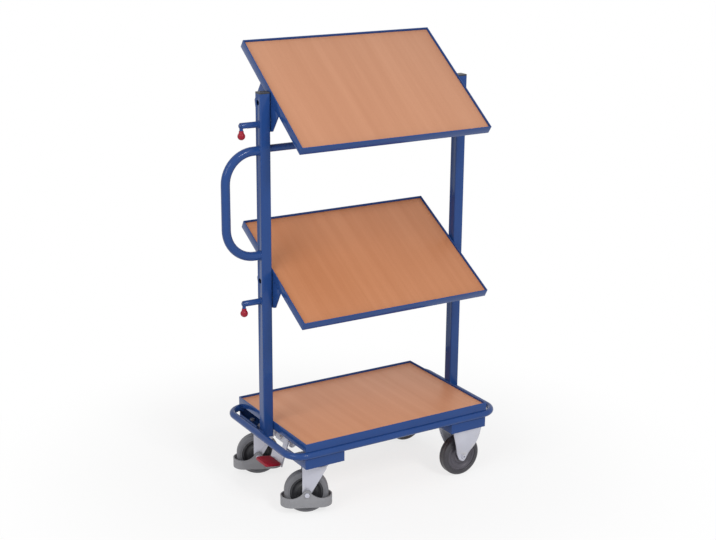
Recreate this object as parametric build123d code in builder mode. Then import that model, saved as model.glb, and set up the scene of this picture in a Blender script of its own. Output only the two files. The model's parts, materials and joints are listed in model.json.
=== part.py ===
from build123d import *
import os
from math import cos, radians, sin, sqrt

# Loading areas: wooden boards dropped into mitred angle rims
board_length = 600.0
board_depth = 400.0
board_thickness = 16.0
board_gap = 0.3
rim_leg = 25.0
rim_wall = 3.0
mitre_gap = 0.2

# Tilting shelves: pivots, rest angles and the arc-shaped side brackets
top_pivot = 1145.0
mid_pivot = 652.0
top_tilt = 36.0
mid_tilt = 30.0
bracket_rise = 8.0
bracket_half = 61.0
bracket_radius = 80.0
bracket_wall = 4.0
pivot_diameter = 8.0
shelf_play = 2.0
face_gap = 0.1
running_fit = 0.05

# Uprights, push handle and cross tube
upright_size = 30.0
upright_wall = 2.0
upright_corner = 3.0
upright_tail = 19.0
upright_head = 24.0
access_diameter = 15.0
cap_height = 4.0
cap_plug = 12.0
cap_gap = 0.2
handle_diameter = 25.0
handle_wall = 2.0
handle_reach = 99.0
handle_drop = 129.0
handle_span = 291.0
handle_bend = 84.0
cross_diameter = 20.0
cross_wall = 1.5
cross_drop = 126.0

# Bumper ring under the deck rim
ring_diameter = 20.0
ring_wall = 1.5
ring_bend = 50.0

# Tilt latches on the left upright
latch_drop = 58.0
latch_diameter = 10.0
latch_travel = 12.0
latch_tip_back = 1.0
sleeve_diameter = 17.0
sleeve_length = 52.0
lever_inset = 2.5
lever_diameter = 10.0
lever_gap = 0.3
bolt_end = 1.0
knob_diameter = 21.0
knob_drop = 27.5
knob_neck = 13.0
knob_neck_rise = 4.0
knob_socket = 7.0
collar_diameter = 16.0
collar_width = 2.5
spring_wire = 1.4
spring_diameter = 13.0
spring_pitch = 1.96

# Caster pockets folded from sheet
pocket_length = 122.0
pocket_depth = 110.0
pocket_wall = 3.0
pocket_height = 30.0
pocket_lip = 22.0
pocket_corner = 5.0
pocket_edge = 9.0

# Casters: plates, forks, wheels
plate_length = 100.0
plate_width = 85.0
plate_corner = 12.0
plate_wall = 3.0
bolt_pitch_x = 80.0
bolt_pitch_y = 50.0
bolt_diameter = 8.0
bolt_play = 0.5
bolt_across = 13.0
bolt_head = 5.3
nut_height = 6.5
caster_inset = 55.6
caster_head = 35.0
swivel_offset = 6.5
fixed_offset = 6.4
wheel_diameter = 125.0
tyre_width = 32.0
tyre_depth = 15.5
tyre_round = 8.0
core_width = 28.0
core_rim = 7.0
core_web = 8.0
core_ribs = 6
core_rib_wall = 5.0
hub_diameter = 30.0
hub_play = 0.5
bush_diameter = 12.0
fork_inside = 40.0
fork_wall = 4.0
fork_boss = 12.5
swivel_trail = 32.0
swivel_heading = 155.0
fork_lead = 23.0
crown_diameter = 62.0
crown_gap = 0.5
race_height = 12.0
race_diameter = 58.0
kingpin_diameter = 20.0
kingpin_flange = 28.0
flange_wall = 2.0
kingpin_play = 2.0
fixed_fork_wall = 3.5
fixed_fork_top = 98.0
fixed_fork_spread = 96.0
fixed_fork_sag = 8.0
fixed_fork_knee = 9.0
fixed_fork_shoulder = 40.0
fixed_plate_edge = 1.0

# Foot guards of the swivel casters
guard_length = 146.0
guard_width = 66.0
guard_wall = 3.5
guard_bottom = 23.0
guard_height = 28.0
guard_web_foot = 100.0
guard_web_top = 20.0
guard_web_sag = 6.0

# Central brake: shaft, cams, plungers and pedal
shaft_diameter = 12.0
cam_radius = 8.0
cam_throw = 8.0
cam_angle = 30.0
cam_width = 10.0
cam_gap = 0.3
plunger_diameter = 10.0
plunger_head = 20.0
plunger_head_wall = 2.5
shoe_length = 24.0
shoe_width = 22.0
shoe_top_gap = 5.5
shoe_gap = 0.35
bearing_wall = 4.0
bearing_width = 28.0
bearing_inset = 6.0
bearing_play = 2.0
pedal_reach = 78.5
pedal_fall = 72.0
pedal_lean = 8.5
pad_length = 50.0
pad_width = 66.0
pad_height = 9.0
pad_round = 4.0
seat_wall = 4.0
seat_length = 40.0
seat_width = 50.0
treadle_wall = 4.0
treadle_width = 68.0
treadle_lean = 17.5
treadle_rise = 84.0
treadle_corner = 5.0
treadle_arm = 23.0
window_low = 33.0
window_high = 61.0
pin_diameter = 10.0
pin_height = 71.0
pin_weld = 1.5
lug_wall = 4.0
lug_span = 88.0
lug_hub = 12.0
lug_end = 10.0

# Sizes that follow from the ones above
deck_length = board_length + 2 * (board_gap + rim_wall)
deck_depth = board_depth + 2 * (board_gap + rim_wall)
shelf_length = deck_length - 2 * shelf_play
upright_inner = deck_length / 2
upright_outer = upright_inner + upright_size
pocket_underside = wheel_diameter + caster_head
ring_x = upright_outer + ring_diameter / 2
ring_y = (deck_depth - rim_wall) / 2
ring_z = pocket_underside + pocket_height + ring_diameter / 2
rim_bottom = ring_z + ring_diameter / 2
rim_above_pivot = bracket_rise + rim_leg
upright_foot = rim_bottom - upright_tail
upright_top = top_pivot + upright_head
handle_upper = top_pivot - handle_drop
handle_lower = handle_upper - handle_span
cross_height = top_pivot - cross_drop
left_extent = upright_outer + handle_reach + handle_diameter / 2
right_extent = ring_x + ring_diameter / 2
deck_x = (left_extent - right_extent) / 2
left_face = deck_x - upright_outer
pocket_x = (deck_length - pocket_length) / 2
pocket_floor_top = pocket_underside + pocket_wall
caster_y = deck_depth / 2 - caster_inset
swivel_x = deck_x - pocket_x + swivel_offset
fixed_x = deck_x + pocket_x + fixed_offset
plate_underside = pocket_underside - plate_wall
wheel_radius = wheel_diameter / 2
core_radius = wheel_radius - tyre_depth
fork_half = fork_inside / 2 + fork_wall
crown_top = plate_underside - race_height - crown_gap
crown_underside = crown_top - fork_wall
guard_half = guard_width / 2
plunger_seat = pocket_underside + crown_gap + flange_wall + crown_gap
shaft_z = plunger_seat + plunger_head_wall + cam_gap + cam_radius + cam_throw * sin(radians(cam_angle))
lever_x = left_face - sleeve_length + lever_inset

os.makedirs("parts", exist_ok=True)


def keep(piece, name):
    piece.part.label = name
    export_step(piece.part, f"parts/{name}.step")


def square_to_x(x):
    """The plane across the trolley at x: its own x runs along +Y and its own y up."""
    return Plane((x, 0, 0), x_dir=(0, 1, 0), z_dir=(1, 0, 0))


def square_to_y(y):
    """The plane along the trolley at y: its own x runs along +X and its own y up."""
    return Plane((0, y, 0), x_dir=(1, 0, 0), z_dir=(0, -1, 0))


# Rims and boards, each on the plane of the rim's underside
def angle_rim(underside, length, depth):
    with BuildPart() as rim:
        for turn in (0, 90, 180, 270):
            run, across = (length, depth) if turn % 180 == 0 else (depth, length)
            heading = underside.x_dir * cos(radians(turn)) + underside.y_dir * sin(radians(turn))
            side = Plane(underside.origin, x_dir=heading, z_dir=underside.z_dir)
            for reach, height in ((rim_leg, rim_wall), (rim_wall, rim_leg)):
                outer = run / 2 - mitre_gap
                edge = -across / 2
                with BuildSketch(side):
                    Polygon(
                        (-outer, edge), (outer, edge),
                        (outer - reach, edge + reach), (reach - outer, edge + reach),
                        align=None,
                    )
                extrude(amount=height)
    return rim


def rim_board(underside, length, depth):
    with BuildPart() as board:
        inset = 2 * (rim_wall + board_gap)
        with BuildSketch(underside.offset(rim_wall)):
            Rectangle(length - inset, depth - inset)
        extrude(amount=board_thickness)
    return board


deck_plane = Plane((deck_x, 0, rim_bottom))
keep(angle_rim(deck_plane, deck_length, deck_depth), "deck_rim")
keep(rim_board(deck_plane, deck_length, deck_depth), "deck_board")


# Shelves: rim, board and two side brackets that turn on the pivots
def side_brackets(shelf, tilt):
    with BuildPart() as brackets:
        for side in (-1, 1):
            outer = shelf.from_local_coords((side * shelf_length / 2, 0, 0))
            face = Plane(outer, x_dir=shelf.y_dir, z_dir=shelf.x_dir)
            with BuildSketch(face):
                Circle(bracket_radius)
                top = rim_above_pivot - rim_leg
                with Locations((0, (top - bracket_radius) / 2)):
                    Rectangle(2 * bracket_half, top + bracket_radius, mode=Mode.INTERSECT)
                Circle(pivot_diameter / 2 + running_fit, mode=Mode.SUBTRACT)
                for lean in (tilt, 0, -tilt):
                    with Locations((-latch_drop * sin(radians(lean)), -latch_drop * cos(radians(lean)))):
                        Circle(latch_diameter / 2 + running_fit, mode=Mode.SUBTRACT)
            extrude(amount=-side * bracket_wall)
    return brackets


for shelf_name, pivot, tilt in (("top", top_pivot, top_tilt), ("mid", mid_pivot, mid_tilt)):
    normal = (0, -sin(radians(tilt)), cos(radians(tilt)))
    shelf = Plane((deck_x, 0, pivot), x_dir=(1, 0, 0), z_dir=normal)
    shelf_underside = shelf.offset(rim_above_pivot - rim_leg)
    keep(angle_rim(shelf_underside, shelf_length, deck_depth), f"{shelf_name}_rim")
    keep(rim_board(shelf_underside, shelf_length, deck_depth), f"{shelf_name}_board")
    keep(side_brackets(shelf, tilt), f"{shelf_name}_brackets")


# Uprights: square tube, with pivot bores in the inner wall and access holes in the outer one
def upright(side):
    with BuildPart() as post:
        middle = deck_x + side * (upright_inner + upright_size / 2)
        with BuildSketch(Plane((middle, 0, upright_foot))):
            RectangleRounded(upright_size, upright_size, upright_corner)
            hollow = upright_size - 2 * upright_wall
            RectangleRounded(hollow, hollow, upright_corner - upright_wall, mode=Mode.SUBTRACT)
        extrude(amount=upright_top - upright_foot)
        inner_face = square_to_x(deck_x + side * upright_inner)
        outer_face = square_to_x(deck_x + side * upright_outer)
        with BuildSketch(inner_face):
            with Locations((0, top_pivot), (0, mid_pivot)):
                Circle(pivot_diameter / 2 + bolt_play)
        extrude(amount=side * upright_wall, mode=Mode.SUBTRACT)
        with BuildSketch(outer_face):
            with Locations((0, top_pivot), (0, mid_pivot)):
                Circle(access_diameter / 2)
        extrude(amount=-side * upright_wall, mode=Mode.SUBTRACT)
        if side < 0:
            with BuildSketch(outer_face):
                with Locations((0, top_pivot - latch_drop), (0, mid_pivot - latch_drop)):
                    Circle(latch_diameter / 2 + running_fit)
            extrude(amount=upright_size, mode=Mode.SUBTRACT)
    return post


keep(upright(-1), "upright_left")
keep(upright(1), "upright_right")

with BuildPart() as upright_caps:
    cap_plane = Plane((deck_x, 0, upright_top))
    plug_size = upright_size - 2 * upright_wall - 2 * cap_gap
    centres = [(-upright_inner - upright_size / 2, 0), (upright_inner + upright_size / 2, 0)]
    with BuildSketch(cap_plane):
        with Locations(*centres):
            RectangleRounded(upright_size, upright_size, upright_corner)
    extrude(amount=cap_height)
    fillet(upright_caps.faces().sort_by(Axis.Z)[-2:].edges(), radius=cap_height / 3)
    with BuildSketch(cap_plane):
        with Locations(*centres):
            RectangleRounded(plug_size, plug_size, upright_corner - upright_wall)
    extrude(amount=-cap_plug)
keep(upright_caps, "upright_caps")


# Pivot bolts with their heads inside the uprights, spacing washers and nuts under the shelves
def hexagon_radius(across):
    return across / sqrt(3)


with BuildPart() as pivot_bolts:
    shank = upright_wall + shelf_play + bracket_wall + face_gap + nut_height + bolt_play
    for side in (-1, 1):
        seat = square_to_x(deck_x + side * (upright_inner + upright_wall))
        with BuildSketch(seat):
            with Locations((0, top_pivot), (0, mid_pivot)):
                RegularPolygon(hexagon_radius(bolt_across), 6)
        extrude(amount=side * bolt_head)
        with BuildSketch(seat):
            with Locations((0, top_pivot), (0, mid_pivot)):
                Circle(pivot_diameter / 2)
        extrude(amount=-side * shank)
keep(pivot_bolts, "pivot_bolts")

with BuildPart() as pivot_washers:
    for side in (-1, 1):
        with BuildSketch(square_to_x(deck_x + side * upright_inner)):
            with Locations((0, top_pivot), (0, mid_pivot)):
                Circle(pivot_diameter)
                Circle(pivot_diameter / 2 + running_fit, mode=Mode.SUBTRACT)
        extrude(amount=-side * (shelf_play - face_gap))
keep(pivot_washers, "pivot_washers")

with BuildPart() as pivot_nuts:
    for side in (-1, 1):
        with BuildSketch(square_to_x(deck_x + side * (shelf_length / 2 - bracket_wall - face_gap))):
            with Locations((0, top_pivot), (0, mid_pivot)):
                RegularPolygon(hexagon_radius(bolt_across), 6)
                Circle(pivot_diameter / 2, mode=Mode.SUBTRACT)
        extrude(amount=-side * nut_height)
keep(pivot_nuts, "pivot_nuts")

# Push handle: one bent tube welded to the left upright
with BuildPart() as push_handle:
    bar_x = left_face - handle_reach
    with BuildLine() as handle_path:
        FilletPolyline(
            (left_face, 0, handle_upper), (bar_x, 0, handle_upper),
            (bar_x, 0, handle_lower), (left_face, 0, handle_lower),
            radius=handle_bend,
        )
    with BuildSketch(Plane((left_face, 0, handle_upper), x_dir=(0, 1, 0), z_dir=(-1, 0, 0))):
        Circle(handle_diameter / 2)
        Circle(handle_diameter / 2 - handle_wall, mode=Mode.SUBTRACT)
    sweep(path=handle_path.wires()[0])
keep(push_handle, "push_handle")

# Cross tube between the uprights, level with the handle's upper arm
with BuildPart() as cross_tube:
    with BuildSketch(square_to_x(deck_x - upright_inner)):
        with Locations((0, cross_height)):
            Circle(cross_diameter / 2)
            Circle(cross_diameter / 2 - cross_wall, mode=Mode.SUBTRACT)
    extrude(amount=2 * upright_inner)
keep(cross_tube, "cross_tube")

# Bumper ring: tangent to the rim's underside and to the uprights' outer faces
with BuildPart() as bumper_tube:
    with BuildLine() as ring_path:
        FilletPolyline(
            (deck_x - ring_x, -ring_y, ring_z), (deck_x + ring_x, -ring_y, ring_z),
            (deck_x + ring_x, ring_y, ring_z), (deck_x - ring_x, ring_y, ring_z),
            radius=ring_bend, close=True,
        )
    start = ring_path.wires()[0]
    with BuildSketch(Plane(start @ 0, z_dir=start % 0)):
        Circle(ring_diameter / 2)
        Circle(ring_diameter / 2 - ring_wall, mode=Mode.SUBTRACT)
    sweep(path=start)
keep(bumper_tube, "bumper_tube")

# Tilt latches: slotted guide sleeves, bolts with bent-down levers, ball knobs and inner springs
latch_levels = {"top": top_pivot - latch_drop, "mid": mid_pivot - latch_drop}

with BuildPart() as latch_sleeves:
    slot_half = lever_diameter / 2 + lever_gap
    for level in latch_levels.values():
        with BuildSketch(square_to_x(left_face)):
            with Locations((0, level)):
                Circle(sleeve_diameter / 2)
                Circle(latch_diameter / 2 + running_fit, mode=Mode.SUBTRACT)
        extrude(amount=-sleeve_length)
        with BuildSketch(Plane((lever_x + (latch_travel - lever_inset) / 2, 0, level))):
            SlotCenterToCenter(latch_travel + lever_inset, 2 * slot_half)
        extrude(amount=-sleeve_diameter, mode=Mode.SUBTRACT)
keep(latch_sleeves, "latch_sleeves")


def latch_bolt(level):
    with BuildPart() as bolt:
        tip = deck_x - upright_inner - latch_tip_back
        with BuildSketch(square_to_x(tip)):
            with Locations((0, level)):
                Circle(latch_diameter / 2)
        extrude(amount=lever_x - lever_diameter / 2 - bolt_end - tip)
        with BuildSketch(square_to_x(deck_x - upright_inner - upright_wall - latch_travel - face_gap)):
            with Locations((0, level)):
                Circle(collar_diameter / 2)
        extrude(amount=-collar_width)
        lever_top = level - latch_diameter / 4
        with BuildSketch(Plane((lever_x, 0, lever_top))):
            Circle(lever_diameter / 2)
        extrude(amount=level - knob_drop + knob_diameter / 2 - knob_socket - lever_top)
    return bolt


def latch_knob(level):
    with BuildPart() as knob:
        ball_top = level - knob_drop + knob_diameter / 2
        with Locations((lever_x, 0, level - knob_drop)):
            Sphere(knob_diameter / 2)
        with BuildSketch(Plane((lever_x, 0, level - knob_drop))):
            Circle(knob_neck / 2)
        extrude(amount=knob_diameter / 2 + knob_neck_rise)
        with BuildSketch(Plane((lever_x, 0, ball_top - knob_socket))):
            Circle(lever_diameter / 2)
        extrude(amount=knob_socket + knob_neck_rise, mode=Mode.SUBTRACT)
    return knob


def latch_spring(level):
    with BuildPart() as spring:
        wall_face = left_face + upright_wall
        collar_face = deck_x - upright_inner - upright_wall - latch_travel - face_gap - collar_width
        run = collar_face - wall_face - spring_wire - 2 * face_gap
        coil = spring_diameter / 2
        first_turn = (wall_face + spring_wire / 2 + face_gap, 0, level)
        with BuildLine() as coil_path:
            Helix(spring_pitch, run, coil, center=first_turn, direction=(1, 0, 0))
        start = coil_path.wires()[0]
        with BuildSketch(Plane(start @ 0, z_dir=start % 0)):
            Circle(spring_wire / 2)
        sweep(path=start, is_frenet=True)
    return spring


for latch_name, level in latch_levels.items():
    keep(latch_bolt(level), f"latch_bolt_{latch_name}")
    keep(latch_knob(level), f"latch_knob_{latch_name}")
    keep(latch_spring(level), f"latch_spring_{latch_name}")

# Caster pockets: floor, outer walls with a round corner and a gusset up to the rim's leg
deck_left = deck_x - deck_length / 2
deck_front = -deck_depth / 2
pocket_right = deck_left + pocket_length
pocket_back = deck_front + pocket_depth
swivel_centre = (swivel_x, -caster_y)
fixed_mirror = (2 * deck_x - fixed_x, -caster_y)


def caster_pocket(plate_centre, swivels):
    with BuildPart() as pocket:
        with BuildSketch(Plane.XY.offset(pocket_underside)) as plan:
            Polygon(
                (deck_left, deck_front), (pocket_right, deck_front),
                (pocket_right, pocket_back), (deck_left, pocket_back),
                align=None,
            )
            outer_corner = plan.vertices().sort_by(Axis.X)[:2].sort_by(Axis.Y)[0]
            fillet(outer_corner, radius=pocket_corner)
        wall_top = ring_z - ring_diameter / 2
        extrude(amount=wall_top - pocket_underside)
        with BuildSketch(Plane.XY.offset(pocket_floor_top)) as inside:
            Polygon(
                (deck_left + pocket_wall, deck_front + pocket_wall), (pocket_right, deck_front + pocket_wall),
                (pocket_right, pocket_back), (deck_left + pocket_wall, pocket_back),
                align=None,
            )
            inner_corner = inside.vertices().sort_by(Axis.X)[:2].sort_by(Axis.Y)[0]
            fillet(inner_corner, radius=pocket_corner - pocket_wall)
        extrude(amount=wall_top - pocket_floor_top, mode=Mode.SUBTRACT)
        lip_top = pocket_underside + pocket_lip
        with BuildSketch(square_to_x(deck_left)):
            Polygon(
                (deck_front + pocket_corner, wall_top),
                (deck_front + pocket_corner + wall_top - lip_top, lip_top),
                (pocket_back, lip_top), (pocket_back, wall_top),
                align=None,
            )
        extrude(amount=pocket_wall, mode=Mode.SUBTRACT)
        tube_back = -ring_y + ring_diameter / 2 + face_gap
        with BuildSketch(square_to_x(pocket_right)):
            Polygon(
                (deck_front, pocket_underside), (deck_front, wall_top),
                (tube_back, wall_top), (tube_back, rim_bottom),
                (deck_front + rim_leg, rim_bottom), (pocket_back, pocket_floor_top + pocket_edge),
                (pocket_back, pocket_underside),
                align=None,
            )
        extrude(amount=-pocket_wall)
        with BuildSketch(Plane.XY.offset(pocket_underside)):
            with Locations(plate_centre):
                with GridLocations(bolt_pitch_x, bolt_pitch_y, 2, 2):
                    Circle(bolt_diameter / 2 + bolt_play)
                if swivels:
                    Circle(kingpin_flange / 2 + kingpin_play)
        extrude(amount=pocket_wall, mode=Mode.SUBTRACT)
    return pocket


swivel_pocket = caster_pocket(swivel_centre, True)
keep(swivel_pocket, "pocket_front_left")
with BuildPart() as rear_left:
    mirror(swivel_pocket.part, about=Plane.XZ)
keep(rear_left, "pocket_rear_left")
fixed_pocket = caster_pocket(fixed_mirror, False)
with BuildPart() as front_right:
    mirror(fixed_pocket.part, about=Plane.YZ.offset(deck_x))
keep(front_right, "pocket_front_right")
with BuildPart() as rear_right:
    mirror(front_right.part, about=Plane.XZ)
keep(rear_right, "pocket_rear_right")

# Bolts and nuts that hold the four caster plates under the pockets
plate_centres = [(x, y) for x in (swivel_x, fixed_x) for y in (-caster_y, caster_y)]

with BuildPart() as caster_bolts:
    grip = plate_wall + pocket_wall + nut_height + bolt_play
    with BuildSketch(Plane.XY.offset(plate_underside)):
        with Locations(*plate_centres):
            with GridLocations(bolt_pitch_x, bolt_pitch_y, 2, 2):
                RegularPolygon(hexagon_radius(bolt_across), 6)
    extrude(amount=-bolt_head)
    with BuildSketch(Plane.XY.offset(plate_underside)):
        with Locations(*plate_centres):
            with GridLocations(bolt_pitch_x, bolt_pitch_y, 2, 2):
                Circle(bolt_diameter / 2)
    extrude(amount=grip)
keep(caster_bolts, "caster_bolts")

with BuildPart() as caster_nuts:
    with BuildSketch(Plane.XY.offset(pocket_floor_top)):
        with Locations(*plate_centres):
            with GridLocations(bolt_pitch_x, bolt_pitch_y, 2, 2):
                RegularPolygon(hexagon_radius(bolt_across), 6)
                Circle(bolt_diameter / 2, mode=Mode.SUBTRACT)
    extrude(amount=nut_height)
keep(caster_nuts, "caster_nuts")


# Wheels: black ribbed core and grey tyre, turned about the axle of a caster's own frame
def caster_side(caster, across):
    """The plane of the wheel's side at a distance across: x along the caster, y up."""
    return Plane(caster.from_local_coords((0, across, 0)), x_dir=caster.x_dir, z_dir=-caster.y_dir)


def axle_profile(caster, along):
    """The upright plane through the axle: x along the axle, y up from the axle."""
    return Plane(caster.from_local_coords((along, 0, wheel_radius)), x_dir=caster.y_dir, z_dir=caster.x_dir)


def wheel_tyre(caster, along):
    with BuildPart() as tyre:
        profile = axle_profile(caster, along)
        with BuildSketch(profile) as section:
            with Locations((0, wheel_radius - tyre_depth / 2)):
                Rectangle(tyre_width, tyre_depth)
            fillet(section.vertices().group_by(Axis.Y)[-1], radius=tyre_round)
        revolve(axis=Axis(profile.origin, profile.x_dir))
    return tyre


def wheel_core(caster, along):
    with BuildPart() as core:
        profile = axle_profile(caster, along)
        hub_width = fork_inside - 2 * hub_play
        rim_inside = core_radius - core_rim
        with BuildSketch(profile):
            with Locations((0, core_radius - core_rim / 2)):
                Rectangle(core_width, core_rim)
            with Locations((0, core_radius / 2)):
                Rectangle(core_web, core_radius)
            with Locations((0, hub_diameter / 4)):
                Rectangle(hub_width, hub_diameter / 2)
        revolve(axis=Axis(profile.origin, profile.x_dir))
        with BuildSketch(caster_side(caster, -core_width / 2)):
            with Locations((along, wheel_radius)):
                with PolarLocations((hub_diameter / 2 + rim_inside) / 2, core_ribs):
                    Rectangle(rim_inside - hub_diameter / 2 + core_rim, core_rib_wall)
        extrude(amount=-core_width)
        with BuildSketch(caster_side(caster, -hub_width / 2)):
            with Locations((along, wheel_radius)):
                Circle(bush_diameter / 2 + running_fit)
        extrude(amount=-hub_width, mode=Mode.SUBTRACT)
    return core


def wheel_bush(caster, along):
    with BuildPart() as bush:
        with BuildSketch(caster_side(caster, -fork_inside / 2)):
            with Locations((along, wheel_radius)):
                Circle(bush_diameter / 2)
                Circle(bolt_diameter / 2 + running_fit, mode=Mode.SUBTRACT)
        extrude(amount=-fork_inside)
    return bush


def axle_set(caster, along, half_grip):
    """The axle bolt, its head on the caster's +y side, and its nut on the other."""
    with BuildPart() as axle:
        with BuildSketch(caster_side(caster, half_grip)):
            with Locations((along, wheel_radius)):
                RegularPolygon(hexagon_radius(bolt_across), 6)
        extrude(amount=-bolt_head)
        with BuildSketch(caster_side(caster, half_grip)):
            with Locations((along, wheel_radius)):
                Circle(bolt_diameter / 2)
        extrude(amount=2 * half_grip + nut_height + bolt_play)
        with BuildSketch(caster_side(caster, -half_grip)):
            with Locations((along, wheel_radius)):
                RegularPolygon(hexagon_radius(bolt_across), 6)
                Circle(bolt_diameter / 2 + running_fit, mode=Mode.SUBTRACT)
        extrude(amount=nut_height)
    return axle


# Swivel casters: plate with race cup, fork with hollow kingpin, foot guard, axle and wheel
def swivel_plate(caster, centre):
    with BuildPart() as plate:
        with BuildSketch(Plane((centre[0], centre[1], plate_underside))):
            RectangleRounded(plate_length, plate_width, plate_corner)
            with GridLocations(bolt_pitch_x, bolt_pitch_y, 2, 2):
                Circle(bolt_diameter / 2 + bolt_play, mode=Mode.SUBTRACT)
        extrude(amount=plate_wall)
        with BuildSketch(caster.offset(plate_underside)):
            Circle(race_diameter / 2)
        extrude(amount=-race_height, taper=8)
        with BuildSketch(caster.offset(plate_underside - race_height)):
            Circle(kingpin_diameter / 2 + running_fit)
        extrude(amount=race_height + plate_wall, mode=Mode.SUBTRACT)
    return plate


def swivel_fork(caster):
    with BuildPart() as fork:
        legs = Plane(caster.origin, x_dir=caster.y_dir, z_dir=caster.x_dir)
        reach = swivel_trail + fork_boss
        foot = wheel_radius - fork_boss
        with BuildSketch(legs.offset(-fork_lead)) as section:
            with Locations((0, (crown_top + foot) / 2)):
                Rectangle(2 * fork_half, crown_top - foot)
            fillet(section.vertices().group_by(Axis.Y)[-1], radius=2 * fork_wall)
        extrude(amount=fork_lead + reach)
        with BuildSketch(legs.offset(-fork_lead)) as gap:
            with Locations((0, (crown_underside + foot) / 2)):
                Rectangle(fork_inside, crown_underside - foot)
            fillet(gap.vertices().group_by(Axis.Y)[-1], radius=fork_wall)
        extrude(amount=fork_lead + reach, mode=Mode.SUBTRACT)
        with BuildSketch(caster_side(caster, fork_half)):
            Polygon(
                (-fork_lead, crown_top), (reach, crown_top), (reach, wheel_radius),
                (swivel_trail, foot), (swivel_trail - fork_boss, wheel_radius),
                (-fork_lead, crown_underside - fork_wall),
                align=None,
            )
            with Locations((swivel_trail, wheel_radius)):
                Circle(fork_boss)
        extrude(amount=2 * fork_half, mode=Mode.INTERSECT)
        with BuildSketch(caster.offset(crown_underside)):
            Circle(crown_diameter / 2)
        extrude(amount=fork_wall)
        kingpin_top = pocket_underside + crown_gap
        with BuildSketch(caster.offset(crown_underside)):
            Circle(kingpin_diameter / 2)
        extrude(amount=kingpin_top - crown_underside)
        with BuildSketch(caster.offset(kingpin_top)):
            Circle(kingpin_flange / 2)
        extrude(amount=flange_wall)
        with BuildSketch(caster.offset(crown_underside)):
            Circle(plunger_diameter / 2 + running_fit)
        extrude(amount=kingpin_top + flange_wall - crown_underside, mode=Mode.SUBTRACT)
        with BuildSketch(caster_side(caster, fork_half)):
            with Locations((swivel_trail, wheel_radius)):
                Circle(bolt_diameter / 2 + running_fit)
        extrude(amount=2 * fork_half, mode=Mode.SUBTRACT)
    return fork


def foot_guard(caster):
    with BuildPart() as guard:
        with BuildSketch(caster.offset(guard_bottom)):
            with Locations((swivel_trail, 0)):
                SlotOverall(guard_length, guard_width)
                SlotOverall(guard_length - 2 * guard_wall, guard_width - 2 * guard_wall, mode=Mode.SUBTRACT)
        extrude(amount=guard_height)
        guard_top = guard_bottom + guard_height
        web_foot = guard_bottom + guard_height / 2
        web_peak = wheel_radius + fork_boss / 2
        reach = guard_web_foot / 2
        crest = guard_web_top / 2
        chord = sqrt((reach - crest) ** 2 + (web_peak - guard_top) ** 2)
        hollow_x = (reach + crest) / 2 - guard_web_sag * (web_peak - guard_top) / chord
        hollow_z = (guard_top + web_peak) / 2 - guard_web_sag * (reach - crest) / chord
        left_foot = [(swivel_trail - reach, guard_top), (swivel_trail - reach, web_foot)]
        right_foot = [(swivel_trail + reach, web_foot), (swivel_trail + reach, guard_top)]
        left_hollow = (swivel_trail - hollow_x, hollow_z)
        right_hollow = (swivel_trail + hollow_x, hollow_z)
        left_peak = (swivel_trail - crest, web_peak)
        right_peak = (swivel_trail + crest, web_peak)
        for side in (-1, 1):
            with BuildSketch(caster_side(caster, side * guard_half)):
                with BuildLine():
                    Polyline(*left_foot, *right_foot)
                    ThreePointArc(right_foot[-1], right_hollow, right_peak)
                    Line(right_peak, left_peak)
                    ThreePointArc(left_peak, left_hollow, left_foot[0])
                make_face()
                with Locations((swivel_trail, wheel_radius)):
                    Circle(fork_boss)
            extrude(amount=side * guard_wall)
            with BuildSketch(caster_side(caster, side * guard_half)):
                with Locations((swivel_trail, wheel_radius)):
                    Circle(fork_boss)
            extrude(amount=side * (guard_half - fork_half))
        with BuildSketch(caster_side(caster, guard_half)):
            with Locations((swivel_trail, wheel_radius)):
                Circle(bolt_diameter / 2 + running_fit)
        extrude(amount=guard_width, mode=Mode.SUBTRACT)
    return guard


# Brake plunger: pin down through the kingpin, cam plate on top, wedge-shaped shoe over the tyre
def brake_plunger(caster):
    with BuildPart() as plunger:
        tyre_top = wheel_radius + sqrt(wheel_radius**2 - swivel_trail**2)
        radial_x = -swivel_trail / wheel_radius
        radial_z = (tyre_top - wheel_radius) / wheel_radius
        face_x = swivel_trail + radial_x * (wheel_radius + shoe_gap)
        face_z = wheel_radius + radial_z * (wheel_radius + shoe_gap)
        slope = -radial_x / radial_z
        shoe_top = crown_underside - shoe_top_gap
        half = shoe_length / 2
        with BuildSketch(caster_side(caster, shoe_width / 2)):
            Polygon(
                (-half, face_z + slope * (-half - face_x)), (half, face_z + slope * (half - face_x)),
                (half, shoe_top), (-half, shoe_top),
                align=None,
            )
        extrude(amount=shoe_width)
        with BuildSketch(caster.offset(shoe_top)):
            Circle(plunger_diameter / 2)
        extrude(amount=plunger_seat + plunger_head_wall - shoe_top)
        with BuildSketch(caster.offset(plunger_seat)):
            Circle(plunger_head / 2)
        extrude(amount=plunger_head_wall)
    return plunger


for swivel_name, side in (("front", -1), ("rear", 1)):
    heading = radians(swivel_heading)
    caster = Plane((swivel_x, side * caster_y, 0), x_dir=(cos(heading), sin(heading), 0), z_dir=(0, 0, 1))
    keep(swivel_plate(caster, (swivel_x, side * caster_y)), f"swivel_plate_{swivel_name}")
    keep(swivel_fork(caster), f"swivel_fork_{swivel_name}")
    keep(foot_guard(caster), f"foot_guard_{swivel_name}")
    keep(axle_set(caster, swivel_trail, guard_half), f"swivel_axle_{swivel_name}")
    keep(wheel_bush(caster, swivel_trail), f"swivel_bush_{swivel_name}")
    keep(wheel_core(caster, swivel_trail), f"swivel_core_{swivel_name}")
    keep(wheel_tyre(caster, swivel_trail), f"swivel_tyre_{swivel_name}")
    keep(brake_plunger(caster), f"brake_plunger_{swivel_name}")


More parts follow.
